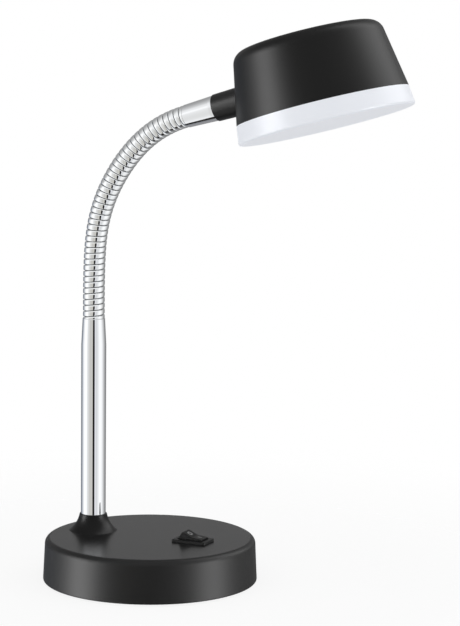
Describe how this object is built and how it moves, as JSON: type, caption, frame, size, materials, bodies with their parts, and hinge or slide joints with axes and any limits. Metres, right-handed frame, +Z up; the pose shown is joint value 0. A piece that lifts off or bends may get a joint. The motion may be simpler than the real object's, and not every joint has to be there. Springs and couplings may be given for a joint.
{
  "type": "gooseneck desk lamp",
  "caption": "Desk lamp with a weighted round base, rocker switch, chrome post, bendable wound neck and a round head: black tapered cap over a shallow opal diffuser.",
  "frame": {"origin": "centre of the round base on the surface the lamp stands on", "axes": "+Z up, +X from the post towards the head, +Y to the left when looking along +X"},
  "size_m": [0.2232, 0.1278, 0.3337],
  "materials": {
    "aluminium": "pressed",
    "black_foam": "matte",
    "board_white": "white solder mask",
    "brass": "bright",
    "cast_iron": "as cast",
    "chrome": "polished",
    "gloss_black": "glossy",
    "led_yellow": "glossy",
    "neck_chrome": "satin",
    "opal": "translucent",
    "satin_black": "satin",
    "white_plastic": "matte",
    "zinc_steel": "zinc plated"
  },
  "bodies": {
    "base": {"base_ballast": "cast_iron", "base_cover": "satin_black", "bottom_plate": "zinc_steel", "cord_gland": "black_foam", "foot_ring": "black_foam", "neck_lower_coupler": "zinc_steel", "neck_lower_stub": "neck_chrome", "plate_screws": "zinc_steel", "post_collar": "satin_black", "post_nipple": "zinc_steel", "post_nut": "zinc_steel", "post_plug": "zinc_steel", "post_tube": "chrome", "post_washer": "zinc_steel", "switch_housing": "gloss_black", "switch_terminals": "brass"},
    "rocker": {"switch_rocker": "gloss_black", "switch_plunger": "white_plastic"},
    "contact_arm": {"switch_contact": "brass"},
    "neck_1": {"neck_link_1": "neck_chrome"},
    "neck_2": {"neck_link_2": "neck_chrome"},
    "neck_3": {"neck_link_3": "neck_chrome"},
    "neck_4": {"neck_link_4": "neck_chrome"},
    "neck_5": {"neck_link_5": "neck_chrome"},
    "neck_6": {"neck_link_6": "neck_chrome"},
    "neck_7": {"neck_link_7": "neck_chrome"},
    "neck_8": {"neck_link_8": "neck_chrome"},
    "neck_9": {"neck_link_9": "neck_chrome"},
    "head": {"neck_upper_stub": "neck_chrome", "neck_upper_coupler": "zinc_steel", "upper_sleeve": "chrome", "sleeve_plug": "zinc_steel", "head_socket": "satin_black", "head_nipple": "zinc_steel", "head_washer": "zinc_steel", "head_nut": "zinc_steel", "cap": "satin_black", "heat_plate": "aluminium", "led_board": "board_white", "led_chips": "led_yellow", "board_screws": "zinc_steel", "led_driver": "white_plastic", "diffuser": "opal"}
  },
  "joints": [
    {"name": "rocker_tilt", "type": "hinge", "parent": "base", "child": "rocker", "pos_m": [0.0282, 0, 0.025], "axis": [0, -1, 0], "range_deg": [0, 30]},
    {"name": "contact_tilt", "type": "hinge", "parent": "base", "child": "contact_arm", "pos_m": [0.0282, 0, 0.0156], "axis": [0, -1, 0], "range_deg": [-16, 0]},
    {"name": "neck_bend_1", "type": "hinge", "parent": "base", "child": "neck_1", "pos_m": [-0.0388, 0, 0.16737], "axis": [0, 1, 0], "range_deg": [-28, 12]},
    {"name": "neck_bend_2", "type": "hinge", "parent": "neck_1", "child": "neck_2", "pos_m": [-0.03867, 0, 0.18117], "axis": [0.9998, 0, -0.0192], "range_deg": [-16, 16]},
    {"name": "neck_bend_3", "type": "hinge", "parent": "neck_2", "child": "neck_3", "pos_m": [-0.03811, 0, 0.19496], "axis": [0, 1, 0], "range_deg": [-28, 12]},
    {"name": "neck_bend_4", "type": "hinge", "parent": "neck_3", "child": "neck_4", "pos_m": [-0.03654, 0, 0.20866], "axis": [0.986, 0, -0.1668], "range_deg": [-16, 16]},
    {"name": "neck_bend_5", "type": "hinge", "parent": "neck_4", "child": "neck_5", "pos_m": [-0.03314, 0, 0.22202], "axis": [0, 1, 0], "range_deg": [-28, 12]},
    {"name": "neck_bend_6", "type": "hinge", "parent": "neck_5", "child": "neck_6", "pos_m": [-0.02764, 0, 0.23467], "axis": [0.8829, 0, -0.4695], "range_deg": [-16, 16]},
    {"name": "neck_bend_7", "type": "hinge", "parent": "neck_6", "child": "neck_7", "pos_m": [-0.02038, 0, 0.24639], "axis": [0, 1, 0], "range_deg": [-28, 12]},
    {"name": "neck_bend_8", "type": "hinge", "parent": "neck_7", "child": "neck_8", "pos_m": [-0.01158, 0, 0.25701], "axis": [0.7218, 0, -0.6921], "range_deg": [-16, 16]},
    {"name": "neck_bend_9", "type": "hinge", "parent": "neck_8", "child": "neck_9", "pos_m": [-0.00117, 0, 0.26603], "axis": [0, 1, 0], "range_deg": [-28, 12]},
    {"name": "neck_bend_10", "type": "hinge", "parent": "neck_9", "child": "head", "pos_m": [0.01076, 0, 0.27293], "axis": [0.4147, 0, -0.91], "range_deg": [-16, 16]}
  ],
  "couplings": [
    {"joint": "contact_tilt", "follows": "rocker_tilt", "ratio": -0.53333}
  ]
}
